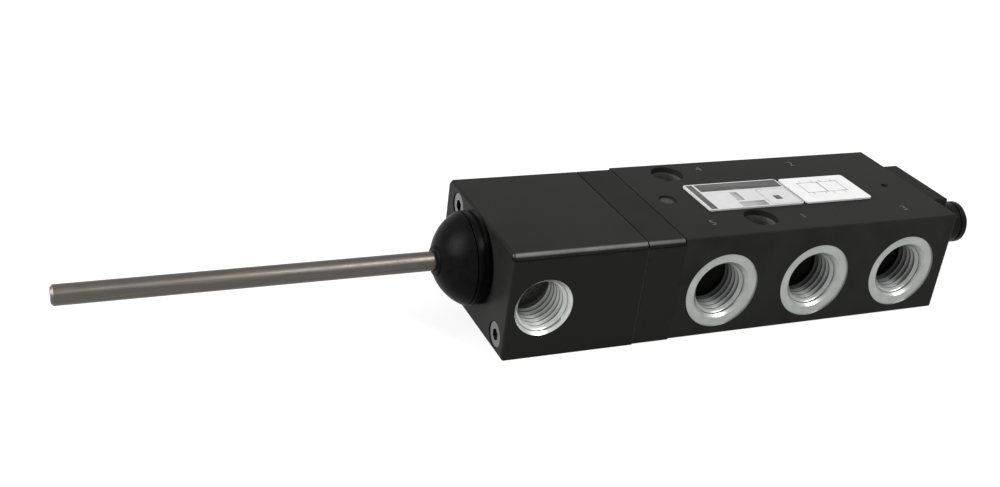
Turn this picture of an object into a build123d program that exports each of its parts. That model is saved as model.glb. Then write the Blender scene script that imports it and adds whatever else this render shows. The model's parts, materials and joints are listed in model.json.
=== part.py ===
from build123d import *
import os
from math import radians, sqrt, tan

os.makedirs("parts", exist_ok=True)

# A whisker-operated five-port spool valve, in millimetres.
# +X runs from the whisker's tip to the override button, -Y is the front with the three main ports, +Z is up.
# The origin is on the flat bottom face, straight below the middle port.

# The row of blocks
block_width = 38.1
block_height = 25.4
actuator_proud = 0.4
housing_length = 31.7
adapter_length = 9.0
body_length = 75.4
cap_length = 4.4
cap_width = 20.4
cap_inset = 0.3
gasket_thickness = 0.3
gasket_inset = 0.1
top_chamfer = 1.2
end_edge = 0.6
body_edge = 0.4
fine_edge = 0.3

# Main ports; the end rooms run from the outer front ports to the body's ends
left_end_room = 11.9
right_end_room = 12.7
port_drop = 1.4
port_radius = 6.6
port_depth = 9.5
port_mouth_radius = 7.2
port_ring_radius = 9.3
port_ring_depth = 0.3
port_passage_radius = 3.0
drill_point_share = 0.6

# Small port of the pilot stage
pilot_port_from_end = 8.4
pilot_port_drop = 2.7
pilot_port_radius = 6.2
pilot_port_mouth_radius = 6.8
orifice_radius = 2.0
orifice_length = 2.4
orifice_bore_radius = 0.5
orifice_wall = 0.6

# Mounting holes, right through from top to bottom, and the small holes in the top face
mount_hole_radius = 2.75
mount_head_radius = 4.0
mount_head_depth = 4.4
mount_hole_spread = 5.3
mount_hole_from_back = 5.6
mount_hole_from_front = 7.1
breather_from_body_left = 5.7
breather_y = 0.3
breather_radius = 1.7
breather_rim = 0.4
breather_sunk = 0.4
breather_length = 2.2
breather_passage_radius = 0.8
tooling_hole_from_body_right = 8.0
tooling_hole_y = -1.0
tooling_hole_radius = 0.9
tooling_hole_depth = 3.0

# Plates glued to the top face
plate_thickness = 0.4
plate_corner = 0.8
plate_front = -7.3
port_plate_from_left_port = 0.9
port_plate_right = 1.6
port_plate_width = 13.3
symbol_plate_gap = 0.8
symbol_plate_from_right_port = 4.0
symbol_plate_width = 13.0

# Spool and its sleeve
spool_stroke = 4.0
spool_radius = 5.45
running_clearance = 0.05
land_overlap = 1.5
spool_neck_radius = 3.4
spool_tail_radius = 2.2
spool_tail_reach = 0.7
spool_spigot_radius = 2.5
spool_bore_radius = 1.1
sleeve_wall = 1.7
sleeve_fit = 0.05
sleeve_left_land = 1.6
sleeve_right_land = 1.8
sleeve_slot_width = 5.0
sleeve_slot_depth = 0.5
sleeve_hole_radius = 1.7
sleeve_hole_count = 4
sleeve_end_gap = 0.05
body_throat_radius = 6.4

# Rubber rings of round section
ring_section_radius = 0.75
ring_side_gap = 0.15
ring_clearance = 0.03

# Pilot piston
piston_radius = 9.0
piston_rest_gap = 0.4
piston_end_gap = 0.3
piston_recess_radius = 4.8
piston_recess_depth = 1.2
piston_fit = 0.03
spring_pocket_radius = 5.2
spring_pocket_depth = 10.0
bleed_passage_radius = 0.8

# Override button
button_radius = 5.3
button_reach = 15.4
button_flange_radius = 6.8
button_flange_thickness = 1.3
button_recess_radius = 7.0
button_recess_depth = 1.4
button_flange_gap = 0.2
button_bore_radius = 4.2
button_roof = 2.9
button_edge = 1.1
button_groove_from_end = 2.6
button_groove_width = 0.5
button_groove_depth = 0.3
button_contact_gap = 0.1
spring_seat_thickness = 1.0
spring_seat_gap = 0.1
spring_seat_hole_radius = 2.5

# Whisker, its pivot and its chamber
whisker_rise = 2.2
whisker_radius = 2.15
whisker_reach = 88.7
whisker_tip_edge = 0.5
whisker_clearance = 0.25
whisker_tilt = 6.5
bushing_radius = 6.0
bushing_length = 6.6
bushing_head_flats = 14.0
bushing_head_thickness = 1.5
flange_radius = 5.2
flange_thickness = 2.0
flange_boss_radius = 3.6
flange_boss_length = 2.2
flange_gap = 1.0
flange_bore_fit = 0.02
chamber_radius = 5.85
chamber_end_wall = 2.0
seat_ring_radius = 4.2
seat_ring_section = 1.0

# Rubber boot
boot_rim_radius = 10.5
boot_rim_length = 3.2
boot_dome_height = 6.7
boot_wall = 1.3
boot_foot_radius = 6.6
boot_groove_start = 1.2
boot_groove_width = 0.8
boot_groove_depth = 0.5
boot_nose_radius = 3.6
boot_nose_tip_radius = 3.2
boot_nose_length = 0.5
boot_hole_clearance = 0.06

# Screws
clamp_screw_radius = 1.75
clamp_head_radius = 2.85
clamp_head_height = 3.5
clamp_head_sunk = 0.2
clamp_screw_from_back = 6.6
clamp_screw_from_front = 4.45
clamp_screw_from_top = 3.9
clamp_screw_from_bottom = 3.75
clamp_thread_length = 6.0
cap_screw_radius = 1.4
cap_head_radius = 2.4
cap_head_height = 2.2
cap_screw_from_side = 2.7
cap_screw_from_edge = 3.1
cap_thread_length = 6.0
screw_hole_clearance = 0.15
hex_depth_share = 0.55
hex_size_share = 0.5

# Springs, each as mean radius, wire radius and turns
return_spring_form = (3.9, 0.4, 6)
button_spring_form = (3.3, 0.3, 7)
centring_spring_form = (4.6, 0.4, 4)
spring_end_gap = 0.05

# Places worked out from the sizes above
front = -block_width / 2
back = block_width / 2
port_pitch = (body_length - left_end_room - right_end_room) / 2
body_left = -port_pitch - left_end_room
body_right = port_pitch + right_end_room
adapter_right = body_left - gasket_thickness
adapter_left = adapter_right - adapter_length
housing_right = adapter_left - gasket_thickness
housing_left = housing_right - housing_length
cap_left = body_right + gasket_thickness
cap_right = cap_left + cap_length

front_ports = (-port_pitch, 0.0, port_pitch)
back_ports = (-port_pitch / 2, port_pitch / 2)
all_ports = sorted(front_ports + back_ports)
spool_height = block_height / 2
port_height = spool_height - port_drop
half_slot = sleeve_slot_width / 2

sleeve_bore_radius = spool_radius + running_clearance
sleeve_radius = sleeve_bore_radius + sleeve_wall
body_bore_radius = sleeve_radius + sleeve_fit
outer_ring_room = half_slot + 2 * ring_section_radius
sleeve_left = all_ports[0] - outer_ring_room - sleeve_left_land
sleeve_right = all_ports[-1] + outer_ring_room + sleeve_right_land

piston_right = adapter_right - piston_rest_gap
piston_left = adapter_left + piston_end_gap + spool_stroke
spring_pocket_end = housing_right - spring_pocket_depth
seat_left = sleeve_right + spring_seat_gap
seat_right = seat_left + spring_seat_thickness
spool_right = seat_right + spool_tail_reach
button_stem_end = spool_right + button_contact_gap
button_right = cap_right + button_reach
button_flange_right = cap_left + button_recess_depth - button_flange_gap
button_flange_left = button_flange_right - button_flange_thickness
button_roof_left = button_right - button_roof

whisker_height = spool_height + whisker_rise
whisker_left = housing_left - whisker_reach
bushing_right = housing_left + bushing_length
bushing_head_right = housing_left - boot_wall
bushing_head_left = bushing_head_right - bushing_head_thickness
pivot_x = bushing_right + flange_gap
flange_right = pivot_x + flange_thickness
chamber_end = spring_pocket_end - chamber_end_wall
pilot_port_x = housing_left + pilot_port_from_end
pilot_port_height = whisker_height - pilot_port_drop
pilot_port_floor = -(chamber_radius + orifice_wall + orifice_length)

mount_hole_centre = -port_pitch * 3 / 4
mount_hole_places = (
    (mount_hole_centre - mount_hole_spread, back - mount_hole_from_back),
    (mount_hole_centre + mount_hole_spread, front + mount_hole_from_front),
)
breather_place = (body_left + breather_from_body_left, breather_y)
tooling_hole_place = (body_right - tooling_hole_from_body_right, tooling_hole_y)
port_plate_span = (port_plate_from_left_port - port_pitch, port_plate_right)
symbol_plate_span = (port_plate_right + symbol_plate_gap, port_pitch - symbol_plate_from_right_port)

clamp_screw_places = (
    (back - clamp_screw_from_back, block_height - clamp_screw_from_top),
    (front + clamp_screw_from_front, clamp_screw_from_bottom),
)


def x_cylinder(radius, start, end, y, z):
    """A round bar along X."""
    bar = Cylinder(radius, end - start, align=(Align.CENTER, Align.CENTER, Align.MIN))
    return Pos(start, y, z) * Rot(0, 90, 0) * bar


def y_cylinder(radius, start, end, x, z):
    """A round bar along Y, from its front end to its back end."""
    bar = Cylinder(radius, end - start, align=(Align.CENTER, Align.CENTER, Align.MIN))
    return Pos(x, start, z) * Rot(-90, 0, 0) * bar


def z_cylinder(radius, start, end, x, y):
    """A round bar along Z."""
    bar = Cylinder(radius, end - start, align=(Align.CENTER, Align.CENTER, Align.MIN))
    return Pos(x, y, start) * bar


def block(start, end, width=block_width, low=0.0, high=block_height, proud=0.0):
    """A plain block, centred across the width but for what stands proud at the front."""
    middle = Pos((start + end) / 2, -proud / 2, (low + high) / 2)
    return middle * Box(end - start, width + proud, high - low)


def turned(points, z):
    """A solid turned about an axis along X from (x, radius) points, then set at its height."""
    outline = make_face(Plane.XZ * Polyline(*points, close=True))
    return Pos(0, 0, z) * revolve(outline, Axis.X)


def round_ring(centre_radius, x, z, section_radius=ring_section_radius):
    """A rubber ring of round section around an axis along X."""
    return Pos(x, 0, z) * Rot(0, 90, 0) * Torus(centre_radius, section_radius)


def ring_groove(outer, inner, x, z):
    """The groove that holds such a ring."""
    half_width = ring_section_radius + ring_side_gap
    return x_cylinder(outer, x - half_width, x + half_width, 0, z) - x_cylinder(
        inner, x - half_width, x + half_width, 0, z
    )


def coil(form, start, end, z):
    """A coil spring along X between the two faces that it bears on."""
    mean_radius, wire_radius, turns = form
    height = end - start - 2 * (wire_radius + spring_end_gap)
    path = Helix(pitch=height / turns, height=height, radius=mean_radius)
    section = Plane(origin=path @ 0, z_dir=path % 0) * Circle(wire_radius)
    wire = sweep(section, path=path, is_frenet=True)
    return Pos(start + wire_radius + spring_end_gap, 0, z) * Rot(0, 90, 0) * wire


def long_edges(part, top):
    """The edges along X of the top or of the bottom."""
    return part.edges().filter_by(Axis.X).filter_by(lambda e: (e.center().Z > block_height / 2) == top)


def socket_screw(shank_radius, head_radius, head_height, head_end, shank_end, y, z):
    """A socket-head screw along X; its head starts at head_end and its shank points at shank_end."""
    way = 1 if shank_end > head_end else -1
    under_head = head_end + way * head_height
    head = x_cylinder(head_radius, min(head_end, under_head), max(head_end, under_head), y, z)
    shank = x_cylinder(shank_radius, min(under_head, shank_end), max(under_head, shank_end), y, z)
    hexagon = RegularPolygon(head_radius * hex_size_share, 6)
    socket = extrude(hexagon, head_height * hex_depth_share)
    return head + shank - Pos(head_end, y, z) * Rot(0, 90 * way, 0) * socket


def clamp_holes(start, end, radius=clamp_screw_radius + screw_hole_clearance):
    """The holes of the long clamp screws over one stretch."""
    return [x_cylinder(radius, start, end, y, z) for y, z in clamp_screw_places]


def cap_screw_places():
    """The four cap screws, around the spool's axis."""
    side = cap_width / 2 - cap_screw_from_side
    heights = (cap_screw_from_edge, block_height - cap_screw_from_edge)
    return [(y, z) for y in (-side, side) for z in heights]


def cap_holes(start, end, radius=cap_screw_radius + screw_hole_clearance):
    """The holes of the cap screws over one stretch."""
    return [x_cylinder(radius, start, end, y, z) for y, z in cap_screw_places()]


def y_cone(near_radius, far_radius, start, height, x, z):
    """A round cone along Y, from its front end."""
    cone = Cone(near_radius, far_radius, height, align=(Align.CENTER, Align.CENTER, Align.MIN))
    return Pos(x, start, z) * Rot(-90, 0, 0) * cone


def port_cut(x, z, radius, mouth_radius, mouth, floor):
    """A port bored into a front face: a small countersink at its mouth and a plain bore to its floor."""
    bore = y_cylinder(radius, mouth - 1, floor, x, z)
    return bore + y_cone(mouth_radius, radius, mouth, mouth_radius - radius, x, z)


def main_port_cuts():
    """The five main ports: a flat ring around the mouth, the bore, its drill point and the passage to the sleeve."""
    cuts = []
    floor = front + port_depth
    drill_point = (port_radius - port_passage_radius) * drill_point_share
    for x in all_ports:
        ring = y_cylinder(port_ring_radius, front - 1, front + port_ring_depth, x, port_height)
        port = port_cut(x, port_height, port_radius, port_mouth_radius, front + port_ring_depth, floor)
        point = y_cone(port_radius, port_passage_radius, floor, drill_point, x, port_height)
        passage = y_cylinder(port_passage_radius, floor, -body_bore_radius / 2, x, port_height)
        cut = ring + port + point + passage
        cuts.append(cut if x in front_ports else mirror(cut, Plane.XZ))
    return cuts


def actuator_housing():
    """The block at the whisker's end, with the chamber of the pivot and the pocket of the return spring."""
    part = block(housing_left, housing_right, proud=actuator_proud)
    part = chamfer(long_edges(part, top=True), top_chamfer)
    end_edges = part.edges().filter_by(lambda e: abs(e.center().X - housing_left) < fine_edge)
    part = fillet(end_edges, end_edge)
    head_room = clamp_head_radius + screw_hole_clearance
    head_depth = housing_left + clamp_head_sunk + clamp_head_height
    passage_radius = orifice_radius + sleeve_fit
    part -= clamp_holes(housing_left, housing_right)
    part -= clamp_holes(housing_left, head_depth, head_room)
    part -= x_cylinder(bushing_radius + sleeve_fit, housing_left, bushing_right, 0, whisker_height)
    part -= x_cylinder(chamber_radius, bushing_right, chamber_end, 0, whisker_height)
    part -= x_cylinder(spring_pocket_radius, spring_pocket_end, housing_right, 0, spool_height)
    part -= x_cylinder(bleed_passage_radius, chamber_end - 1, spring_pocket_end + 1, 0, spool_height)
    mouth = front - actuator_proud
    part -= port_cut(
        pilot_port_x, pilot_port_height, pilot_port_radius, pilot_port_mouth_radius, mouth, pilot_port_floor
    )
    part -= y_cylinder(
        passage_radius, pilot_port_floor - 1, -chamber_radius / 2, pilot_port_x, pilot_port_height
    )
    return part


def adapter_plate():
    """The plate between housing and valve body, bored for the pilot piston."""
    part = block(adapter_left, adapter_right, proud=actuator_proud)
    part = chamfer(long_edges(part, top=True), top_chamfer)
    part = chamfer(long_edges(part, top=False), fine_edge)
    part -= clamp_holes(adapter_left, adapter_right)
    return part - x_cylinder(piston_radius + running_clearance, adapter_left, adapter_right, 0, spool_height)


def valve_body():
    """The main block: five ports that cross the bore of the sleeve, and the mounting holes."""
    part = block(body_left, body_right)
    part = fillet(part.edges().filter_by(lambda e: e.center().X > body_left + fine_edge), body_edge)
    part -= x_cylinder(body_throat_radius, body_left, sleeve_left, 0, spool_height)
    part -= x_cylinder(body_bore_radius, sleeve_left - sleeve_end_gap, body_right, 0, spool_height)
    part -= main_port_cuts()
    part -= clamp_holes(body_left, body_left + clamp_thread_length + 1)
    part -= cap_holes(body_right - cap_thread_length - 1, body_right)
    for x, y in mount_hole_places:
        part -= z_cylinder(mount_hole_radius, 0, block_height, x, y)
        part -= z_cylinder(mount_head_radius, block_height - mount_head_depth, block_height, x, y)
    x, y = breather_place
    part -= z_cylinder(breather_radius + breather_rim, block_height - breather_rim, block_height, x, y)
    part -= z_cylinder(
        breather_radius + sleeve_fit, block_height - breather_sunk - breather_length, block_height, x, y
    )
    part -= z_cylinder(breather_passage_radius, spool_height, block_height, x, y)
    x, y = tooling_hole_place
    return part - z_cylinder(tooling_hole_radius, block_height - tooling_hole_depth, block_height, x, y)


def end_cap():
    """The narrow cap that closes the spool bore and guides the override button."""
    part = block(cap_left, cap_right, cap_width, cap_inset, block_height - cap_inset)
    outer_edges = part.edges().filter_by(lambda e: e.center().X > cap_left + fine_edge)
    part = fillet(outer_edges, body_edge)
    part -= x_cylinder(button_radius + running_clearance, cap_left, cap_right, 0, spool_height)
    part -= x_cylinder(button_recess_radius, cap_left, cap_left + button_recess_depth, 0, spool_height)
    part -= ring_groove(button_groove_outer(), button_radius, button_ring_x(), spool_height)
    part -= cap_holes(cap_left, cap_right)
    return part - cap_holes(cap_right - cap_head_height, cap_right, cap_head_radius + screw_hole_clearance)


def button_ring_x():
    recess_end = cap_left + button_recess_depth
    return (recess_end + cap_right) / 2


def button_groove_outer():
    return button_radius + 2 * (ring_section_radius + ring_clearance)


def gasket(start, bore_radius, holes, width=block_width, low=0.0, top_drop=0.0, proud=0.0):
    """A thin gasket, a little smaller than the faces that it seals."""
    low += gasket_inset
    high = block_height - top_drop - gasket_inset
    part = block(start, start + gasket_thickness, width - 2 * gasket_inset, low, high, proud)
    part -= holes
    return part - x_cylinder(bore_radius, start, start + gasket_thickness, 0, spool_height)


def top_plate(span, width):
    """A thin plate glued to the top face, over its span along X."""
    left, right = span
    outline = RectangleRounded(right - left, width, plate_corner)
    return Pos((left + right) / 2, plate_front + width / 2, block_height) * extrude(outline, plate_thickness)


def breather():
    """The porous disc in the top face, over the vent of the piston's spool side."""
    x, y = breather_place
    top = block_height - breather_sunk
    return z_cylinder(breather_radius, top - breather_length, top, x, y)


def spool_sleeve():
    """The sleeve: a slot with radial holes at each port, and a ring groove on each side of it."""
    part = x_cylinder(sleeve_radius, sleeve_left, sleeve_right, 0, spool_height)
    part -= x_cylinder(sleeve_bore_radius, sleeve_left, sleeve_right, 0, spool_height)
    for x in all_ports:
        slot = x_cylinder(sleeve_radius + 1, x - half_slot, x + half_slot, 0, spool_height)
        slot -= x_cylinder(sleeve_radius - sleeve_slot_depth, x - half_slot, x + half_slot, 0, spool_height)
        part -= slot
        for turn in range(sleeve_hole_count):
            hole = Cylinder(sleeve_hole_radius, sleeve_radius + 1, align=(Align.CENTER, Align.CENTER, Align.MIN))
            part -= Pos(x, 0, spool_height) * Rot(360 * turn / sleeve_hole_count, 0, 0) * hole
    for x in sleeve_ring_places():
        part -= ring_groove(sleeve_radius + 1, sleeve_ring_inner(), x, spool_height)
    return part


def sleeve_ring_places():
    """Halfway between neighbouring ports, and as far outside the end ports."""
    step = port_pitch / 2
    inner = [x + step / 2 for x in all_ports[:-1]]
    return [all_ports[0] - outer_ring_room] + inner + [all_ports[-1] + outer_ring_room]


def sleeve_ring_inner():
    return body_bore_radius - 2 * (ring_section_radius + ring_clearance)


def sleeve_rings():
    """The static rings between sleeve and body."""
    centre_radius = body_bore_radius - ring_clearance - ring_section_radius
    return [round_ring(centre_radius, x, spool_height) for x in sleeve_ring_places()]


def spool():
    """The spool. Its narrow middle land feeds one neighbour of the middle port or the other.

    A cross hole in that land and a bore along the axis carry inlet pressure to the spool's right end.
    """
    left_land_end = half_slot + land_overlap - port_pitch
    middle_land_end = half_slot + land_overlap
    middle_land_start = middle_land_end - spool_stroke
    right_land_start = port_pitch - half_slot - land_overlap + spool_stroke
    profile = [
        (piston_left + piston_recess_depth, 0),
        (piston_left + piston_recess_depth, spool_spigot_radius),
        (piston_right, spool_spigot_radius),
        (piston_right, spool_neck_radius),
        (sleeve_left, spool_neck_radius),
        (sleeve_left, spool_radius),
        (left_land_end, spool_radius),
        (left_land_end, spool_neck_radius),
        (middle_land_start, spool_neck_radius),
        (middle_land_start, spool_radius),
        (middle_land_end, spool_radius),
        (middle_land_end, spool_neck_radius),
        (right_land_start, spool_neck_radius),
        (right_land_start, spool_radius),
        (sleeve_right, spool_radius),
        (sleeve_right, spool_tail_radius),
        (spool_right, spool_tail_radius),
        (spool_right, 0),
    ]
    part = turned(profile, spool_height)
    feed_x = (middle_land_start + middle_land_end) / 2
    part -= x_cylinder(spool_bore_radius, feed_x, spool_right, 0, spool_height)
    low = spool_height - spool_radius - running_clearance
    high = spool_height + spool_radius + running_clearance
    return part - z_cylinder(spool_bore_radius, low, high, feed_x, 0)


def pilot_piston():
    """The piston that air holds to the right, with its seal groove and the seat of the return spring."""
    part = x_cylinder(piston_radius, piston_left, piston_right, 0, spool_height)
    part -= x_cylinder(piston_recess_radius, piston_left, piston_left + piston_recess_depth, 0, spool_height)
    part -= x_cylinder(spool_spigot_radius + piston_fit, piston_left, piston_right, 0, spool_height)
    return part - ring_groove(piston_radius + 1, piston_groove_inner(), piston_ring_x(), spool_height)


def piston_ring_x():
    return (piston_left + piston_right) / 2


def piston_groove_inner():
    return piston_radius - 2 * ring_section_radius - ring_clearance


def piston_ring():
    """The sliding ring of the piston."""
    return round_ring(piston_radius - ring_section_radius, piston_ring_x(), spool_height)


def return_spring():
    return coil(return_spring_form, spring_pocket_end, piston_left + piston_recess_depth, spool_height)


def spring_seat():
    """The washer against the sleeve that the button's spring bears on."""
    part = x_cylinder(sleeve_radius, seat_left, seat_right, 0, spool_height)
    return part - x_cylinder(spring_seat_hole_radius, seat_left, seat_right, 0, spool_height)


def override_button():
    """The hollow push button, with a flange that keeps it in the cap and a stem that meets the spool."""
    groove_right = button_right - button_groove_from_end
    groove_left = groove_right - button_groove_width
    groove_radius = button_radius - button_groove_depth
    profile = [
        (button_stem_end, 0),
        (button_stem_end, spool_tail_radius),
        (button_roof_left, spool_tail_radius),
        (button_roof_left, button_bore_radius),
        (button_flange_left, button_bore_radius),
        (button_flange_left, button_flange_radius),
        (button_flange_right, button_flange_radius),
        (button_flange_right, button_radius),
        (groove_left, button_radius),
        (groove_left, groove_radius),
        (groove_right, groove_radius),
        (groove_right, button_radius),
        (button_right - button_edge, button_radius),
        (button_right, button_radius - button_edge),
        (button_right, 0),
    ]
    return turned(profile, spool_height)


def button_ring():
    """The ring in the cap that seals the button."""
    return round_ring(button_radius + running_clearance + ring_section_radius, button_ring_x(), spool_height)


def button_spring():
    return coil(button_spring_form, seat_right, button_roof_left, spool_height)


def pivot_bushing():
    """The hexagon-headed bushing. Its throat opens outwards so that the whisker can tilt."""
    reach = pivot_x - bushing_head_left
    diagonal_tilt = sqrt(2) * tan(radians(whisker_tilt))
    throat_radius = whisker_radius + whisker_clearance + reach * diagonal_tilt
    hexagon = RegularPolygon(bushing_head_flats / 2, 6, major_radius=False)
    head = Pos(bushing_head_left, 0, whisker_height) * Rot(0, 90, 0) * extrude(hexagon, bushing_head_thickness)
    throat = turned(
        [
            (bushing_head_left, 0),
            (bushing_head_left, throat_radius),
            (bushing_right, whisker_radius + whisker_clearance),
            (bushing_right, 0),
        ],
        whisker_height,
    )
    part = head + x_cylinder(bushing_radius, bushing_head_right, bushing_right, 0, whisker_height)
    return part - throat - seat_groove()


def seat_groove():
    """The groove in the bushing's inner face for the seat ring."""
    half_width = seat_ring_section + ring_side_gap
    start = seat_ring_x() - seat_ring_section - ring_clearance
    groove = x_cylinder(seat_ring_radius + half_width, start, bushing_right, 0, whisker_height)
    return groove - x_cylinder(seat_ring_radius - half_width, start, bushing_right, 0, whisker_height)


def seat_ring_x():
    return pivot_x - ring_clearance - seat_ring_section


def seat_ring():
    """The ring that the whisker's flange closes on. Tilting the flange opens it."""
    return round_ring(seat_ring_radius, seat_ring_x(), whisker_height, seat_ring_section)


def whisker_flange():
    """The disc on the whisker's inner end, with the boss that centres its spring."""
    part = x_cylinder(flange_radius, pivot_x, flange_right, 0, whisker_height)
    part += x_cylinder(flange_boss_radius, flange_right, flange_right + flange_boss_length, 0, whisker_height)
    bore = x_cylinder(whisker_radius + flange_bore_fit, pivot_x, flange_right, 0, whisker_height)
    return part - bore


def whisker_rod():
    """The straight rod, with a small chamfer at its tip."""
    rod = x_cylinder(whisker_radius, whisker_left, flange_right, 0, whisker_height)
    tip = rod.edges().sort_by(Axis.X)[0]
    return chamfer(tip, whisker_tip_edge)


def centring_spring():
    return coil(centring_spring_form, flange_right, chamber_end, whisker_height)


def boot():
    """The moulded rubber boot: foot, grooved rim, round dome and the nose that grips the whisker."""
    rim_left = housing_left - boot_rim_length
    dome_left = rim_left - boot_dome_height
    groove_right = housing_left - boot_groove_start
    groove_left = groove_right - boot_groove_width
    groove_radius = boot_rim_radius - boot_groove_depth
    dome_radius = (boot_rim_radius**2 + boot_dome_height**2) / (2 * boot_dome_height)
    dome_centre = dome_left + dome_radius
    inner_radius = dome_radius - boot_wall
    inner_rim = boot_rim_radius - boot_wall
    hole_radius = whisker_radius + boot_hole_clearance
    nose_x = dome_centre - sqrt(dome_radius**2 - boot_nose_radius**2)
    inner_nose_x = dome_centre - sqrt(inner_radius**2 - boot_nose_radius**2)
    inner_rim_x = dome_centre - sqrt(inner_radius**2 - inner_rim**2)
    foot_x = housing_left - boot_wall

    outside = Polyline(
        (housing_left, boot_foot_radius),
        (housing_left, boot_rim_radius),
        (groove_right, boot_rim_radius),
        (groove_right, groove_radius),
        (groove_left, groove_radius),
        (groove_left, boot_rim_radius),
        (rim_left, boot_rim_radius),
    )
    outer_dome = RadiusArc((rim_left, boot_rim_radius), (nose_x, boot_nose_radius), -dome_radius)
    nose = Polyline(
        (nose_x, boot_nose_radius),
        (nose_x - boot_nose_length, boot_nose_tip_radius),
        (nose_x - boot_nose_length, hole_radius),
        (inner_nose_x, hole_radius),
        (inner_nose_x, boot_nose_radius),
    )
    inner_dome = RadiusArc((inner_nose_x, boot_nose_radius), (inner_rim_x, inner_rim), inner_radius)
    inside = Polyline(
        (inner_rim_x, inner_rim),
        (foot_x, inner_rim),
        (foot_x, boot_foot_radius),
        (housing_left, boot_foot_radius),
    )
    outline = make_face(Plane.XZ * (outside + outer_dome + nose + inner_dome + inside))
    return Pos(0, 0, whisker_height) * revolve(outline, Axis.X)


def bleed_orifice():
    """The drilled plug that meters air from the small port into the pivot's chamber."""
    start, end = pilot_port_floor, pilot_port_floor + orifice_length
    part = y_cylinder(orifice_radius, start, end, pilot_port_x, pilot_port_height)
    return part - y_cylinder(orifice_bore_radius, start, end, pilot_port_x, pilot_port_height)


def clamp_screws():
    """The long screws that clamp housing and adapter to the body."""
    head_end = housing_left + clamp_head_sunk
    shank_end = body_left + clamp_thread_length
    return [
        socket_screw(clamp_screw_radius, clamp_head_radius, clamp_head_height, head_end, shank_end, y, z)
        for y, z in clamp_screw_places
    ]


def cap_screws():
    """The short screws of the end cap."""
    shank_end = body_right - cap_thread_length
    return [
        socket_screw(cap_screw_radius, cap_head_radius, cap_head_height, cap_right, shank_end, y, z)
        for y, z in cap_screw_places()
    ]


adapter_holes = clamp_holes(housing_right, body_left)
nodes = {
    "actuator_housing": actuator_housing(),
    "adapter_plate": adapter_plate(),
    "valve_body": valve_body(),
    "end_cap": end_cap(),
    "housing_gasket": gasket(
        housing_right, piston_radius, adapter_holes, top_drop=top_chamfer, proud=actuator_proud
    ),
    "adapter_gasket": gasket(adapter_right, piston_radius, adapter_holes, top_drop=top_chamfer),
    "cap_gasket": gasket(
        body_right, body_bore_radius, cap_holes(body_right, cap_left), cap_width, cap_inset, cap_inset
    ),
    "port_plate": top_plate(port_plate_span, port_plate_width),
    "symbol_plate": top_plate(symbol_plate_span, symbol_plate_width),
    "breather": breather(),
    "spool_sleeve": spool_sleeve(),
    "sleeve_rings": sleeve_rings(),
    "spool": spool(),
    "pilot_piston": pilot_piston(),
    "piston_ring": piston_ring(),
    "return_spring": return_spring(),
    "spring_seat": spring_seat(),
    "override_button": override_button(),
    "button_ring": button_ring(),
    "button_spring": button_spring(),
    "pivot_bushing": pivot_bushing(),
    "seat_ring": seat_ring(),
    "whisker_flange": whisker_flange(),
    "whisker_rod": whisker_rod(),
    "centring_spring": centring_spring(),
    "boot": boot(),
    "bleed_orifice": bleed_orifice(),
    "clamp_screws": clamp_screws(),
    "cap_screws": cap_screws(),
}

for name, shape in nodes.items():
    pieces = shape if isinstance(shape, list) else [shape]
    solids = [solid for piece in pieces for solid in piece.solids()]
    export_step(solids[0] if len(solids) == 1 else Compound(children=solids), f"parts/{name}.step")
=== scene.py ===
import json
from math import cos, floor, pi, radians, sin, sqrt

import bmesh
import bpy
from mathutils import Matrix, Vector


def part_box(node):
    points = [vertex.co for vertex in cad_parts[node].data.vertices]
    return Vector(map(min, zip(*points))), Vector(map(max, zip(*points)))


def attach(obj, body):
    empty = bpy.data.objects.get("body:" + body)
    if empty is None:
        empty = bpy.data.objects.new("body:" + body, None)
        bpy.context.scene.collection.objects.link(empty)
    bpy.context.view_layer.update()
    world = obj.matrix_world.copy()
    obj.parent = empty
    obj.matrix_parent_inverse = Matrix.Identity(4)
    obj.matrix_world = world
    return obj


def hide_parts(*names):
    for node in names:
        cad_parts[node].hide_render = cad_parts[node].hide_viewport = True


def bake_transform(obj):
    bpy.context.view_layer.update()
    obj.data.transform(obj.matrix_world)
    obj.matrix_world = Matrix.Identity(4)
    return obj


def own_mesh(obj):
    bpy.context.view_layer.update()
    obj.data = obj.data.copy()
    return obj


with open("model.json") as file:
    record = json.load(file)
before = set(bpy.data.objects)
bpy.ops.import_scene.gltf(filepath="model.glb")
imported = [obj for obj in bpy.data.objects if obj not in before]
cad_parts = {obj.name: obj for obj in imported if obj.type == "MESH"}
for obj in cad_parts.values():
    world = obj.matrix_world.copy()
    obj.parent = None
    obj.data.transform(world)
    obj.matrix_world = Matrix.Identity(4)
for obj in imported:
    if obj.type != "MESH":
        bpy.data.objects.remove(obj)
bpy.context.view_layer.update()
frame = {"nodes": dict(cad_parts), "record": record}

# Every length is in metres, in the part's own frame, except where a comment says millimetres.
MM = 0.001

# Camera that shows the object as the photograph does
CAMERA_PLACE = (-0.182338, -0.225641, 0.144423)
CAMERA_YAW = radians(25.8634)
CAMERA_PITCH = radians(26.7987)
CAMERA_ROLL = radians(7.3725)
SENSOR_WIDTH = 36.0
LENS = 45.7526

# Pipe threads in the ports: 18 to the inch, with a taper of 1 in 16 on the diameter
THREAD_STEPS = 96
THREAD_ROWS = 10
THREAD_PITCH = 1.411 * MM
THREAD_TAPER = 1 / 32
THREAD_DEPTH_SHARE = 0.56
THREAD_LEAD = 0.1 * MM
THREAD_RUNOUT = 0.5 * MM
THREAD_FADE = 0.6

# Countersink and flat ring of a port, the hole in the pilot port's floor, and a liner's gap to its bore
PORT_SINK = 0.6 * MM
PORT_RING_RADIUS = 9.3 * MM
PORT_RING_DEPTH = 0.3 * MM
PILOT_FLOOR_HOLE = 2.2 * MM
LINER_GAP = 0.03 * MM

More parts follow.
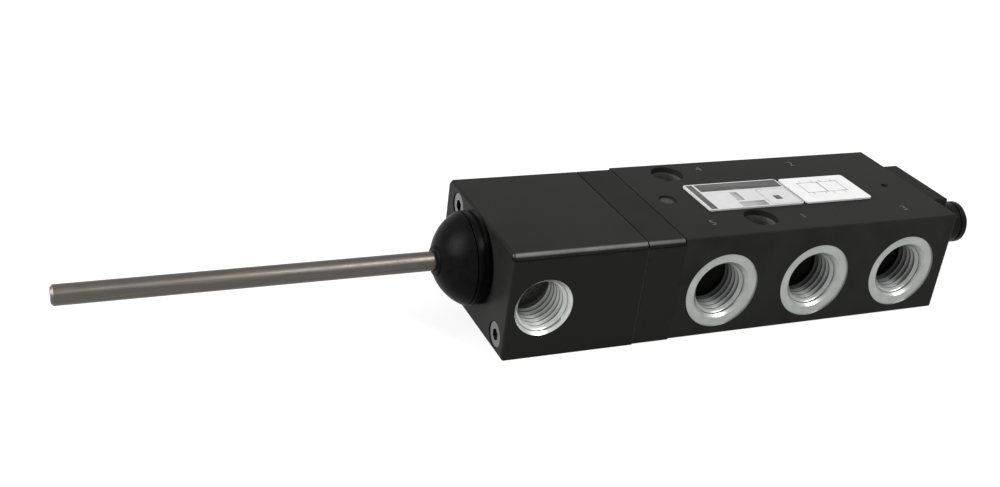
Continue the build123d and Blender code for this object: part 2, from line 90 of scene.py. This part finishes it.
# Chamfer along the top of the housing and the adapter, and the band below the top that its painted highlight
# crosses
TOP_CHAMFER = 1.2 * MM
EDGE_LIGHT_BAND = 1.6 * MM

# Painted highlight across that band, with a painted dark line below it, from its bottom to the top face:
# colour as a share of the block's own, and shine
EDGE_LIGHT_SHADES = [(0.0, 1.0), (0.2, 0.3), (0.5, 0.36), (0.66, 3.2), (0.85, 4.0), (0.97, 1.2)]
EDGE_LIGHT_SHINE = [(0.0, 0.027), (0.2, 0.011), (0.5, 0.0135), (0.66, 0.12), (0.85, 0.15), (0.97, 0.043)]

# Counterbores of the mounting holes, as (x, y)
HEAD_BORES = [(-24.35 * MM, 13.45 * MM), (-13.75 * MM, -11.95 * MM)]
HEAD_BORE_RADIUS = 4.0 * MM
HEAD_BORE_DEPTH = 4.4 * MM
BARE_WALL_FROM_TOP = 1.4 * MM
BARE_WALL_FROM_FLOOR = 0.8 * MM

# Boot, as in the solids: rim, dome and nose around the whisker
BOOT_STEPS = 144
BOOT_WALL = 1.3 * MM
BOOT_RIM_LENGTH = 3.2 * MM
BOOT_RIM_FOOT = 4.0 * MM
BOOT_EDGE = 0.35 * MM
BOOT_DOME_HEIGHT = 6.7 * MM
BOOT_NOSE_RADIUS = 3.6 * MM
BOOT_TIP_RADIUS = 3.2 * MM
BOOT_NOSE_LENGTH = 0.5 * MM
BOOT_HOLE_GAP = 0.06 * MM

# Groove round the boot's rim, in millimetres, as (distance from the housing, depth)
BOOT_GROOVE = [(1.2, 0.0), (1.25, 0.4), (1.6, 0.5), (1.95, 0.4), (2.0, 0.0)]

# Ink on the plates and the top face
INK_THICKNESS = 0.02 * MM

# Prints on the port plate, in millimetres, as (left, right, front, back), and their frame's line width
PLATE_HEADER = (-21.6, 1.2, 1.9, 5.6)
PLATE_MARGIN = (-23.9, -22.2, -6.9, 5.6)
PLATE_FIELDS = [(-15.2, -8.0, -6.9, -4.4), (-14.8, -12.8, -3.6, 0.6)]
PLATE_MARK = (-4.5, -2.7, -4.5, -2.5)
PLATE_FRAME = (-7.2, 1.2, -6.9, 1.1)
PLATE_FRAME_LINE = 0.15

# Valve symbol of two squares with stubs, in millimetres
SYMBOL_SQUARES = [(6.0, 11.8, -2.6, 2.8), (11.8, 17.6, -2.6, 2.8)]
SYMBOL_LINE = 0.2
SYMBOL_STUB = 1.0
SYMBOL_STUB_INSET = 1.2

# Port numbers on the top face, with the (x, y) of their middles in millimetres
PORT_NUMBERS = {
    "5": (-27.0, -12.6),
    "1": (-2.6, -13.0),
    "3": (26.4, -13.4),
    "4": (-14.6, 15.0),
    "2": (12.4, 14.4),
}
PORT_NUMBER_HEIGHT = 3.2 * MM

# Studio
FLOOR_HALF_SIZE = 2.5
FLOOR_DROP = 0.05 * MM
FLOOR_GLOW = 0.8
SKY_LIGHT = 0.55
SKY_SEEN = 1.0
LAMPS_AIM = (-0.02, 0, 0.01)


def turned_mesh(name, profile, centre, steps, closed=False):
    """A mesh turned about an axis along X through centre, from (x, radius) points."""
    mesh = bmesh.new()
    rings = []
    for x, radius in profile:
        ring = []
        for step in range(steps):
            angle = 2 * pi * step / steps
            ring.append(mesh.verts.new((x, centre[1] + radius * cos(angle), centre[2] + radius * sin(angle))))
        rings.append(ring)
    pairs = list(zip(rings, rings[1:]))
    if closed:
        pairs.append((rings[-1], rings[0]))
    for first, second in pairs:
        for step in range(steps):
            after = (step + 1) % steps
            mesh.faces.new((first[step], first[after], second[after], second[step]))
    bmesh.ops.recalc_face_normals(mesh, faces=mesh.faces)
    return finished_object(name, mesh)


def finished_object(name, mesh, smooth_angle=radians(35)):
    """A new object from a bmesh, shaded smooth except across its sharp edges."""
    for face in mesh.faces:
        face.smooth = True
    for edge in mesh.edges:
        edge.smooth = len(edge.link_faces) == 2 and edge.calc_face_angle(0) < smooth_angle
    data = bpy.data.meshes.new(name)
    mesh.to_mesh(data)
    mesh.free()
    made = bpy.data.objects.new(name, data)
    bpy.context.scene.collection.objects.link(made)
    return made


def dress(piece, finish, body="valve"):
    """Gives a piece its material and its body."""
    piece.data.materials.clear()
    piece.data.materials.append(finish)
    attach(piece, body)
    return piece


# Materials

class Finish:
    """One material built from nodes around a principled shader."""

    def __init__(self, name, metallic=0.0, specular=0.5):
        self.material = bpy.data.materials.new(name)
        self.material.use_nodes = True
        self.tree = self.material.node_tree
        self.shader = self.tree.nodes["Principled BSDF"]
        self.shader.inputs["Metallic"].default_value = metallic
        self.shader.inputs["Specular IOR Level"].default_value = specular
        self.place = self.node("ShaderNodeTexCoord").outputs["Object"]
        self.bumped = None

    def node(self, kind, **settings):
        made = self.tree.nodes.new(kind)
        for key, value in settings.items():
            setattr(made, key, value)
        return made

    def link(self, source, target):
        self.tree.links.new(source, target)

    def scaled(self, scale):
        """The object's coordinates, stretched by a scale for each axis."""
        mapping = self.node("ShaderNodeMapping")
        mapping.inputs["Scale"].default_value = scale
        self.link(self.place, mapping.inputs["Vector"])
        return mapping.outputs["Vector"]

    def noise(self, size, detail=4.0, roughness=0.55, stretch=(1, 1, 1)):
        """Noise whose grains are about size metres, longer along an axis with a smaller stretch."""
        texture = self.node("ShaderNodeTexNoise")
        texture.inputs["Scale"].default_value = 1.0
        texture.inputs["Detail"].default_value = detail
        texture.inputs["Roughness"].default_value = roughness
        self.link(self.scaled([s / size for s in stretch]), texture.inputs["Vector"])
        return texture.outputs["Fac"]

    def ramp(self, source, stops):
        """A value turned into a colour, from (position, colour) stops."""
        made = self.node("ShaderNodeValToRGB")
        elements = made.color_ramp.elements
        while len(elements) < len(stops):
            elements.new(0.5)
        for element, (position, colour) in zip(elements, stops):
            element.position = position
            element.color = (*colour, 1.0)
        self.link(source, made.inputs["Fac"])
        return made.outputs["Color"]

    def between(self, source, start, end, low, high):
        """A value mapped from one range to another, and held at its ends."""
        made = self.node("ShaderNodeMapRange")
        made.inputs["From Min"].default_value = start
        made.inputs["From Max"].default_value = end
        made.inputs["To Min"].default_value = low
        made.inputs["To Max"].default_value = high
        self.link(source, made.inputs["Value"])
        return made.outputs["Result"]

    def spread(self, source, low, high):
        """Noise mapped to a range."""
        return self.between(source, 0.3, 0.7, low, high)

    def mixed(self, share, first, second):
        """Two colours mixed by a share of the second."""
        made = self.node("ShaderNodeMix", data_type="RGBA")
        colours = [socket for socket in made.inputs if socket.type == "RGBA"]
        self.link(share, made.inputs["Factor"])
        self.link(first, colours[0])
        self.link(second, colours[1])
        return [socket for socket in made.outputs if socket.type == "RGBA"][0]

    def colour(self, source):
        self.link(source, self.shader.inputs["Base Color"])

    def rough(self, source):
        self.link(source, self.shader.inputs["Roughness"])

    def bump(self, source, height):
        """Adds relief of about height metres."""
        made = self.node("ShaderNodeBump")
        made.inputs["Strength"].default_value = 1.0
        made.inputs["Distance"].default_value = height
        self.link(source, made.inputs["Height"])
        if self.bumped is not None:
            self.link(self.bumped, made.inputs["Normal"])
        self.bumped = made.outputs["Normal"]
        self.link(self.bumped, self.shader.inputs["Normal"])


def grey(level, warmth=0.0, green=0.0):
    """A grey, warmer for a positive warmth and greener for a positive green."""
    return (level * (1 + warmth), level * (1 + green), level * (1 - warmth))


def anodised(name, level, rough, specular, chamfered_block=None):
    """Black anodised aluminium: fine pores, faint clouds, and along a chamfered block's front edge a painted
    highlight with a painted dark line below it.
    """
    finish = Finish(name, specular=specular)
    finish.shader.inputs["Specular Tint"].default_value = (0.97, 1.0, 0.94, 1.0)
    cloud = finish.noise(9 * MM, detail=5)
    pores = finish.noise(0.35 * MM, detail=2)
    colour = finish.ramp(cloud, [(0.3, grey(level * 0.8, 0.02, 0.04)), (0.7, grey(level * 1.25, 0.02, 0.04))])
    if chamfered_block:
        low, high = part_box(chamfered_block)
        split = finish.node("ShaderNodeSeparateXYZ")
        finish.link(finish.node("ShaderNodeNewGeometry").outputs["Position"], split.inputs["Vector"])
        chamfer_back = low.y + TOP_CHAMFER
        in_front = finish.between(split.outputs["Y"], chamfer_back + 0.1 * MM, chamfer_back, 0, 1)
        across = finish.between(split.outputs["Z"], high.z - EDGE_LIGHT_BAND, high.z, 0, 1)
        # Painted highlight on the chamfer and a painted dark line below it, in the colour and in the specular
        # level.
        painted_edge_light = [(place, grey(level * share, 0.02, 0.04)) for place, share in EDGE_LIGHT_SHADES]
        shine = [(place, grey(amount)) for place, amount in EDGE_LIGHT_SHINE]
        colour = finish.mixed(in_front, colour, finish.ramp(across, painted_edge_light))
        plain = finish.ramp(across, [(0.0, grey(specular)), (1.0, grey(specular))])
        shine = finish.mixed(in_front, plain, finish.ramp(across, shine))
        finish.link(shine, finish.shader.inputs["Specular IOR Level"])
    finish.colour(colour)
    finish.rough(finish.spread(cloud, rough - 0.05, rough + 0.07))
    finish.bump(pores, 0.006 * MM)
    return finish.material


def bare_metal(name, level, rough, streak=(1, 1, 1), size=0.5 * MM, warmth=0.0, bump=0.004 * MM):
    """Machined or drawn metal, with its tool marks along the axis whose stretch is small."""
    finish = Finish(name, metallic=1.0)
    marks = finish.noise(size, detail=3, stretch=streak)
    stain = finish.noise(6 * MM, detail=4)
    finish.colour(finish.ramp(marks, [(0.25, grey(level * 0.8, warmth)), (0.75, grey(level * 1.15, warmth))]))
    finish.rough(finish.spread(stain, rough - 0.06, rough + 0.08))
    finish.bump(marks, bump)
    return finish.material


def port_metal(name, level, rough, deepest_shade):
    """Metal cut by a tool that turned about the port's own axis, which is the piece's own Y, and darkened
    deeper into the port as painted shade.
    """
    finish = Finish(name, metallic=0.85)
    split = finish.node("ShaderNodeSeparateXYZ")
    finish.link(finish.place, split.inputs["Vector"])
    pair = finish.node("ShaderNodeCombineXYZ")
    finish.link(split.outputs["X"], pair.inputs["X"])
    finish.link(split.outputs["Z"], pair.inputs["Z"])
    radius = finish.node("ShaderNodeVectorMath", operation="LENGTH")
    finish.link(pair.outputs["Vector"], radius.inputs[0])
    rings = finish.node("ShaderNodeTexNoise", noise_dimensions="1D")
    rings.inputs["Scale"].default_value = 1 / (0.18 * MM)
    rings.inputs["Detail"].default_value = 2.0
    finish.link(radius.outputs["Value"], rings.inputs["W"])
    stain = finish.noise(3 * MM, detail=4)
    cut = finish.ramp(stain, [(0.3, grey(level * 0.88, 0.0, 0.03)), (0.7, grey(level * 1.1, 0.0, 0.03))])
    # Painted shade: the colour darkens from 0.9 mm to 7.5 mm into the port, down to the share given for its
    # deepest point.
    painted_depth_shade = finish.between(split.outputs["Y"], 0.9 * MM, 7.5 * MM, 1.0, deepest_shade)
    shaded = finish.node("ShaderNodeVectorMath", operation="SCALE")
    finish.link(cut, shaded.inputs[0])
    finish.link(painted_depth_shade, shaded.inputs["Scale"])
    finish.colour(shaded.outputs["Vector"])
    finish.rough(finish.spread(stain, rough - 0.06, rough + 0.06))
    finish.bump(rings.outputs["Fac"], 0.01 * MM)
    return finish.material


def rubber(name, level, rough, specular=0.1):
    """Moulded rubber with a matt grain and a little dust."""
    finish = Finish(name, specular=specular)
    dust = finish.noise(2.5 * MM, detail=6, roughness=0.7)
    pores = finish.noise(0.3 * MM, detail=3)
    finish.colour(finish.ramp(dust, [(0.35, grey(level * 0.7)), (0.75, grey(level * 1.5))]))
    finish.rough(finish.spread(dust, rough - 0.08, rough + 0.1))
    finish.bump(pores, 0.015 * MM)
    return finish.material


def printed(name, level, rough=0.42):
    """Printed foil: even colour with a trace of scuffing."""
    finish = Finish(name, specular=0.2)
    scuff = finish.noise(1.8 * MM, detail=6, roughness=0.65)
    finish.colour(finish.ramp(scuff, [(0.3, grey(level * 0.9)), (0.6, grey(level))]))
    finish.rough(finish.spread(scuff, rough - 0.08, rough + 0.08))
    finish.bump(scuff, 0.004 * MM)
    return finish.material


def plastic(name, level, rough):
    """Moulded black plastic with a fine eroded grain."""
    finish = Finish(name, specular=0.04)
    grain = finish.noise(0.2 * MM, detail=2)
    wear = finish.noise(4 * MM, detail=5)
    finish.colour(finish.ramp(wear, [(0.3, grey(level * 0.8)), (0.7, grey(level * 1.3))]))
    finish.rough(finish.spread(wear, rough - 0.06, rough + 0.08))
    finish.bump(grain, 0.01 * MM)
    return finish.material


def sintered(name):
    """Small metal grains pressed together, with painted shade in the gaps between them."""
    finish = Finish(name, metallic=0.7)
    cells = finish.node("ShaderNodeTexVoronoi")
    cells.inputs["Scale"].default_value = 1 / (0.28 * MM)
    finish.link(finish.place, cells.inputs["Vector"])
    # Colour darker towards the grains' edges: painted shade in the gaps between grains.
    finish.colour(finish.ramp(cells.outputs["Distance"], [(0.0, grey(0.06, 0.05)), (0.8, grey(0.016, 0.05))]))
    finish.shader.inputs["Roughness"].default_value = 0.5
    finish.bump(cells.outputs["Distance"], -0.08 * MM)
    return finish.material


# The housing and the adapter carry a painted highlight and a painted dark line along their top front
# chamfers.
housing_black = anodised("housing_black", 0.0080, 0.34, 0.028, "actuator_housing")
adapter_black = anodised("adapter_black", 0.0085, 0.38, 0.018, "adapter_plate")
body_black = anodised("body_black", 0.0098, 0.44, 0.024)
cap_black = anodised("cap_black", 0.0080, 0.44, 0.018)
gasket_black = rubber("gasket_black", 0.018, 0.7)
seal_black = rubber("seal_black", 0.012, 0.5)
boot_black = rubber("boot_black", 0.0022, 0.34, specular=0.025)
# Last number: the share of the colour that the painted shade leaves deep in the port.
port_bright = port_metal("port_bright", 0.31, 0.36, 0.10)
pilot_bright = port_metal("pilot_bright", 0.46, 0.30, 0.45)
bore_wall = bare_metal("bore_wall", 0.28, 0.4, size=0.3 * MM)
steel_drawn = bare_metal("steel_drawn", 0.088, 0.42, streak=(0.02, 1, 1), size=0.3 * MM, warmth=0.1)
steel_turned = bare_metal("steel_turned", 0.5, 0.34)
screw_steel = bare_metal("screw_steel", 0.15, 0.26, size=0.3 * MM)
spring_steel = bare_metal("spring_steel", 0.5, 0.3, size=0.2 * MM)
turned_aluminium = bare_metal("turned_aluminium", 0.62, 0.34, streak=(1, 0.05, 0.05), size=0.2 * MM)
brass_turned = bare_metal("brass_turned", 0.5, 0.3, warmth=0.35)
foil_white = printed("foil_white", 0.37)
foil_bright = printed("foil_bright", 0.47)
ink_grey = printed("ink_grey", 0.05)
ink_light = printed("ink_light", 0.22)
number_grey = printed("number_grey", 0.045)
button_black = plastic("button_black", 0.004, 0.36)
bronze_porous = sintered("bronze_porous")

CAD_FINISHES = {
    "actuator_housing": housing_black,
    "adapter_plate": adapter_black,
    "valve_body": body_black,
    "end_cap": cap_black,
    "housing_gasket": gasket_black,
    "adapter_gasket": gasket_black,
    "cap_gasket": gasket_black,
    "port_plate": foil_white,
    "symbol_plate": foil_bright,
    "breather": bronze_porous,
    "spool_sleeve": turned_aluminium,
    "sleeve_rings": seal_black,
    "spool": turned_aluminium,
    "pilot_piston": turned_aluminium,
    "piston_ring": seal_black,
    "return_spring": spring_steel,
    "spring_seat": steel_turned,
    "override_button": button_black,
    "button_ring": seal_black,
    "button_spring": spring_steel,
    "pivot_bushing": brass_turned,
    "seat_ring": seal_black,
    "whisker_flange": steel_turned,
    "whisker_rod": steel_drawn,
    "centring_spring": spring_steel,
    "bleed_orifice": brass_turned,
    "clamp_screws": screw_steel,
    "cap_screws": screw_steel,
}


def dress_cad_nodes():
    """Gives every node of the frame that stays its finish."""
    for name, finish in CAD_FINISHES.items():
        data = frame["nodes"][name].data
        data.materials.clear()
        data.materials.append(finish)


# Ports

def thread_height(phase):
    """Height of the thread's crest over its root, from 0 to 1, at a phase of its pitch."""
    flat = 0.08
    rise = 0.5 - 1.5 * flat
    distance = abs(phase - floor(phase) - 0.5)
    return min(1.0, max(0.0, (distance - flat / 2) / rise))


def port_liner(name, mount):
    """The bare metal of one port: its flat ring where it has one, its countersink and its tapered thread.

    It is built along its own Y, into the block, and stands just inside the bored hole. Its thread turns
    left-handed, unlike that of a real pipe fitting.
    """
    side = mount["axis"][1]
    ringed = mount["name"] != "pilot_port"
    block_name = "valve_body" if ringed else "actuator_housing"
    radius = mount["dims"]["r_mm"] * MM
    length = mount["dims"]["length_mm"] * MM
    face = abs(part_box(block_name)[0].y)
    depth = face - abs(mount["pos_m"][1]) + length / 2
    mouth = PORT_RING_DEPTH - LINER_GAP if ringed else -LINER_GAP / 3
    root = radius - LINER_GAP
    crest_height = THREAD_PITCH * THREAD_DEPTH_SHARE
    thread_start = mouth + PORT_SINK + THREAD_LEAD
    thread_end = depth - THREAD_RUNOUT
    fade = THREAD_FADE * THREAD_PITCH
    rows = int((thread_end - thread_start) / THREAD_PITCH + 2) * THREAD_ROWS
    mesh = bmesh.new()

    def ring(depth_at, radius_at):
        made = []
        for step in range(THREAD_STEPS):
            angle = 2 * pi * step / THREAD_STEPS
            y, r = depth_at(angle), radius_at(angle)
            made.append(mesh.verts.new((r * cos(angle), y, r * sin(angle))))
        return made

    def thread_depth(row, angle):
        place = thread_start + (row / THREAD_ROWS - 1 + angle / (2 * pi)) * THREAD_PITCH
        return min(thread_end, max(thread_start, place))

    def thread_radius(row, angle):
        place = thread_depth(row, angle)
        inward = min(1.0, (place - thread_start) / fade, (thread_end - place) / fade)
        taper = (place - thread_start) * THREAD_TAPER
        return root - taper - crest_height * inward * thread_height(row / THREAD_ROWS)

    plain = []
    if ringed:
        plain += [(0.0, PORT_RING_RADIUS - LINER_GAP), (mouth, PORT_RING_RADIUS - LINER_GAP)]
    plain += [(mouth, root + PORT_SINK), (mouth + PORT_SINK, root)]
    rings = [ring(lambda a, y=y: y, lambda a, r=r: r) for y, r in plain]
    for row in range(rows):
        rings.append(ring(lambda a, k=row: thread_depth(k, a), lambda a, k=row: thread_radius(k, a)))
    end_radius = root - (thread_end - thread_start) * THREAD_TAPER
    rings.append(ring(lambda a: thread_end + LINER_GAP, lambda a: end_radius))
    if not ringed:
        rings.append(ring(lambda a: depth - LINER_GAP, lambda a: end_radius))
        rings.append(ring(lambda a: depth - LINER_GAP, lambda a: PILOT_FLOOR_HOLE))

    start = len(plain)
    for index, (first, second) in enumerate(zip(rings, rings[1:])):
        threaded = start <= index < start + rows - 1
        steps = THREAD_STEPS - 1 if threaded else THREAD_STEPS
        for step in range(steps):
            after = (step + 1) % THREAD_STEPS
            mesh.faces.new((first[step], second[step], second[after], first[after]))
        row = index - start
        if threaded and row + 1 + THREAD_ROWS < rows:
            next_first = rings[index + THREAD_ROWS]
            next_second = rings[index + THREAD_ROWS + 1]
            mesh.faces.new((next_first[0], next_second[0], second[-1], first[-1]))
    bmesh.ops.remove_doubles(mesh, verts=mesh.verts, dist=0.0005 * MM)
    bmesh.ops.dissolve_degenerate(mesh, dist=0.0002 * MM, edges=mesh.edges)
    bmesh.ops.recalc_face_normals(mesh, faces=mesh.faces)
    liner = finished_object(name, mesh)
    liner.rotation_euler = (0, 0, pi if side > 0 else 0)
    liner.location = (mount["pos_m"][0], side * face, mount["pos_m"][2])
    return liner


def port_liners():
    """A liner of bare metal for each threaded port."""
    for mount in frame["record"]["mounts"]:
        if mount["kind"] == "threaded_hole":
            finish = pilot_bright if mount["name"] == "pilot_port" else port_bright
            dress(port_liner(mount["name"] + "_thread", mount), finish)


# Boot

def boot_pieces():
    """The rubber boot, as two pieces: a rim against the housing, and a dome and nose round the whisker."""
    low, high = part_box("boot")
    housing_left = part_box("actuator_housing")[0].x
    rod_low, rod_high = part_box("whisker_rod")
    centre = (low + high) / 2
    rim_radius = (high.z - low.z) / 2
    rod_radius = (rod_high.z - rod_low.z) / 2
    rim_left = housing_left - BOOT_RIM_LENGTH
    dome_radius = (rim_radius**2 + BOOT_DOME_HEIGHT**2) / (2 * BOOT_DOME_HEIGHT)
    dome_centre = rim_left - BOOT_DOME_HEIGHT + dome_radius
    hole_radius = rod_radius + BOOT_HOLE_GAP

    def dome(radius, start, end, steps):
        """Points of the dome from one distance off the axis to another."""
        points = []
        for step in range(steps + 1):
            away = start + (end - start) * step / steps
            points.append((dome_centre - sqrt(max(0.0, radius**2 - away**2)), away))
        return points

    edge = BOOT_EDGE
    rim = [(housing_left, rim_radius - BOOT_RIM_FOOT), (housing_left, rim_radius - edge)]
    rim += [(housing_left - edge * 0.3, rim_radius - edge * 0.3), (housing_left - edge, rim_radius)]
    rim += [(housing_left - x * MM, rim_radius - depth * MM) for x, depth in BOOT_GROOVE]
    rim += [(rim_left + edge, rim_radius), (rim_left + edge * 0.3, rim_radius - edge * 0.12)]
    rim += [(rim_left, rim_radius - edge * 0.4)]
    inner_rim = rim_radius - BOOT_WALL
    rim += [(rim_left, inner_rim), (housing_left - BOOT_WALL, inner_rim)]
    rim += [(housing_left - BOOT_WALL, rim_radius - BOOT_RIM_FOOT)]
    rim_piece = turned_mesh("boot_rim", rim, centre, BOOT_STEPS, closed=True)

    outside = dome(dome_radius, rim_radius - edge * 0.4, BOOT_NOSE_RADIUS, 40)
    nose_x = outside[-1][0]
    tip_x = nose_x - BOOT_NOSE_LENGTH
    inside = dome(dome_radius - BOOT_WALL, BOOT_NOSE_RADIUS, inner_rim, 24)
    nose = [(nose_x - 0.2 * MM, BOOT_NOSE_RADIUS - 0.1 * MM), (tip_x + 0.1 * MM, BOOT_TIP_RADIUS + 0.1 * MM)]
    nose += [(tip_x, BOOT_TIP_RADIUS - 0.15 * MM), (tip_x, hole_radius), (inside[0][0], hole_radius)]
    cover = outside + nose + inside
    cover_piece = turned_mesh("boot_dome", cover, centre, BOOT_STEPS, closed=True)

    for piece in (rim_piece, cover_piece):
        piece.data.materials.append(boot_black)
        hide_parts("boot")
    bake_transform(rim_piece)
    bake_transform(cover_piece)


# Springs of the spool and the button

def straight_springs():
    """Copies of the two straight springs, whose left ends are fixed, in place of the solids' own."""
    for name, joint in (("return_spring", "spool_shift"), ("button_spring", "button_push")):
        spring = bpy.data.objects.new(name + "_coil", frame["nodes"][name].data.copy())
        bpy.context.scene.collection.objects.link(spring)
        dress(spring, spring_steel)
        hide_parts(name)
        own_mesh(spring)


# Mounting holes

def head_bore_walls():
    """The bare walls of the mounting holes' counterbores, whose rims stay black."""
    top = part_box("valve_body")[1].z
    radius = HEAD_BORE_RADIUS - LINER_GAP
    profile = [(BARE_WALL_FROM_TOP, radius), (HEAD_BORE_DEPTH - BARE_WALL_FROM_FLOOR, radius)]
    for number, (x, y) in enumerate(HEAD_BORES):
        wall = turned_mesh("head_bore_wall_%d" % (number + 1), profile, (0, 0, 0), 64)
        wall.rotation_euler = (0, pi / 2, 0)
        wall.location = (x, y, top)
        dress(wall, bore_wall)


# Plates and numerals

def ink_patches(name, rectangles, level, finish):
    """Flat printed rectangles, each (left, right, front, back) in millimetres, as one thin piece."""
    mesh = bmesh.new()
    for left, right, near, far in rectangles:
        corners = [(left, near), (right, near), (right, far), (left, far)]
        low = [mesh.verts.new((x * MM, y * MM, level)) for x, y in corners]
        high = [mesh.verts.new((x * MM, y * MM, level + INK_THICKNESS)) for x, y in corners]
        mesh.faces.new(high)
        mesh.faces.new(low[::-1])
        for index in range(4):
            after = (index + 1) % 4
            mesh.faces.new((low[index], low[after], high[after], high[index]))
    piece = finished_object(name, mesh)
    return dress(piece, finish)


def outline_boxes(boxes, line):
    """The four lines round each box, line millimetres wide."""
    lines = []
    for left, right, near, far in boxes:
        lines += [(left, right, near, near + line), (left, right, far - line, far)]
        lines += [(left, left + line, near, far), (right - line, right, near, far)]
    return lines


def numeral(name, text, place, height, finish):
    """A plain printed number that lies on the top face."""
    curve = bpy.data.curves.new(name + "_curve", "FONT")
    curve.body = text
    curve.size = height
    curve.align_x = "CENTER"
    curve.align_y = "CENTER"
    curve.extrude = INK_THICKNESS / 2
    source = bpy.data.objects.new(name + "_source", curve)
    bpy.context.scene.collection.objects.link(source)
    bpy.context.view_layer.update()
    data = bpy.data.meshes.new_from_object(source.evaluated_get(bpy.context.evaluated_depsgraph_get()))
    bpy.data.objects.remove(source)
    piece = bpy.data.objects.new(name, data)
    bpy.context.scene.collection.objects.link(piece)
    piece.location = (place[0], place[1], place[2] + INK_THICKNESS / 2)
    bpy.context.view_layer.update()
    return dress(piece, finish)


def plate_prints():
    """Plain boxes on the port plate and a plain valve symbol on the other."""
    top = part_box("port_plate")[1].z
    ink_patches("port_plate_header", [PLATE_HEADER], top, ink_grey)
    ink_patches("port_plate_margin", [PLATE_MARGIN], top, ink_grey)
    ink_patches("port_plate_fields", PLATE_FIELDS, top, ink_light)
    ink_patches("port_plate_lines", outline_boxes([PLATE_FRAME], PLATE_FRAME_LINE), top, ink_light)
    ink_patches("port_plate_mark", [PLATE_MARK], top, ink_grey)
    ink_patches("symbol_plate_lines", symbol_lines(), top, ink_light)


def symbol_lines():
    """The plain two-square symbol of a two-position valve, with its port stubs."""
    lines = outline_boxes(SYMBOL_SQUARES, SYMBOL_LINE)
    for left, right, near, far in SYMBOL_SQUARES:
        for x in (left + SYMBOL_STUB_INSET, right - SYMBOL_STUB_INSET):
            lines += [(x, x + SYMBOL_LINE, near - SYMBOL_STUB, near)]
            lines += [(x, x + SYMBOL_LINE, far, far + SYMBOL_STUB)]
    return lines


def port_numerals():
    """Plain port numbers beside the ports, on the top face."""
    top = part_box("valve_body")[1].z
    for text, (x, y) in PORT_NUMBERS.items():
        numeral("port_number_" + text, text, (x * MM, y * MM, top), PORT_NUMBER_HEIGHT, number_grey)


# Camera, floor and light

def set_camera():
    """The camera, from its place, the direction it looks in and its roll."""
    data = bpy.data.cameras.new("camera")
    data.sensor_width = SENSOR_WIDTH
    data.lens = LENS
    data.clip_start = 0.01
    data.clip_end = 20
    ahead = Vector(
        (sin(CAMERA_YAW) * cos(CAMERA_PITCH), cos(CAMERA_YAW) * cos(CAMERA_PITCH), -sin(CAMERA_PITCH))
    )
    level_right = Vector((cos(CAMERA_YAW), -sin(CAMERA_YAW), 0))
    level_up = level_right.cross(ahead)
    right = level_right * cos(CAMERA_ROLL) + level_up * sin(CAMERA_ROLL)
    up = level_up * cos(CAMERA_ROLL) - level_right * sin(CAMERA_ROLL)
    camera = bpy.data.objects.new("camera", data)
    turn = Matrix((right, up, -ahead)).transposed().to_4x4()
    camera.matrix_world = Matrix.Translation(CAMERA_PLACE) @ turn
    bpy.context.scene.collection.objects.link(camera)
    bpy.context.scene.camera = camera


def seen_directly(tree):
    """1 for rays from the camera, a mirror or glass, and 0 for the rays that light surfaces."""
    path = tree.nodes.new("ShaderNodeLightPath")
    total = path.outputs["Is Camera Ray"]
    for name in ("Is Glossy Ray", "Is Transmission Ray"):
        both = tree.nodes.new("ShaderNodeMath")
        both.operation = "MAXIMUM"
        tree.links.new(total, both.inputs[0])
        tree.links.new(path.outputs[name], both.inputs[1])
        total = both.outputs[0]
    return total


def make_floor():
    """A plain pale floor, white where it is seen directly."""
    size = FLOOR_HALF_SIZE
    mesh = bmesh.new()
    corners = [(-size, -size), (size, -size), (size, size), (-size, size)]
    mesh.faces.new([mesh.verts.new((x, y, -FLOOR_DROP)) for x, y in corners])
    floor_piece = finished_object("floor", mesh)
    material = bpy.data.materials.new("floor_white")
    material.use_nodes = True
    tree = material.node_tree
    tree.nodes.clear()
    out = tree.nodes.new("ShaderNodeOutputMaterial")
    mixed = tree.nodes.new("ShaderNodeMixShader")
    plain = tree.nodes.new("ShaderNodeBsdfDiffuse")
    glow = tree.nodes.new("ShaderNodeEmission")
    plain.inputs["Color"].default_value = (0.9, 0.9, 0.9, 1)
    glow.inputs["Color"].default_value = (1, 1, 1, 1)
    share = tree.nodes.new("ShaderNodeMath")
    share.operation = "MULTIPLY"
    share.inputs[1].default_value = FLOOR_GLOW
    tree.links.new(seen_directly(tree), share.inputs[0])
    tree.links.new(share.outputs[0], mixed.inputs[0])
    tree.links.new(plain.outputs[0], mixed.inputs[1])
    tree.links.new(glow.outputs[0], mixed.inputs[2])
    tree.links.new(mixed.outputs[0], out.inputs["Surface"])
    floor_piece.data.materials.append(material)


def set_world():
    """A white surrounding that lights surfaces less than it shows."""
    world = bpy.data.worlds.new("studio")
    bpy.context.scene.world = world
    world.use_nodes = True
    tree = world.node_tree
    background = tree.nodes["Background"]
    background.inputs["Color"].default_value = (1, 1, 1, 1)
    strength = tree.nodes.new("ShaderNodeMapRange")
    strength.inputs["To Min"].default_value = SKY_LIGHT
    strength.inputs["To Max"].default_value = SKY_SEEN
    tree.links.new(seen_directly(tree), strength.inputs["Value"])
    tree.links.new(strength.outputs["Result"], background.inputs["Strength"])


def add_lamp(name, place, size, energy):
    """A round lamp, size metres across, that faces the object."""
    data = bpy.data.lights.new(name, "AREA")
    data.shape = "DISK"
    data.size = size
    data.energy = energy
    lamp = bpy.data.objects.new(name, data)
    lamp.location = place
    lamp.rotation_euler = (Vector(LAMPS_AIM) - Vector(place)).to_track_quat("-Z", "Y").to_euler()
    bpy.context.scene.collection.objects.link(lamp)


def light_studio():
    add_lamp("key", (0.30, -0.43, 0.76), 0.3, 8.0)
    add_lamp("side", (-0.9, 0.1, 0.45), 0.6, 16.0)


set_camera()
set_world()
light_studio()
make_floor()
dress_cad_nodes()
port_liners()
boot_pieces()
straight_springs()
head_bore_walls()
plate_prints()
port_numerals()

bpy.context.scene.view_settings.view_transform = "Standard"
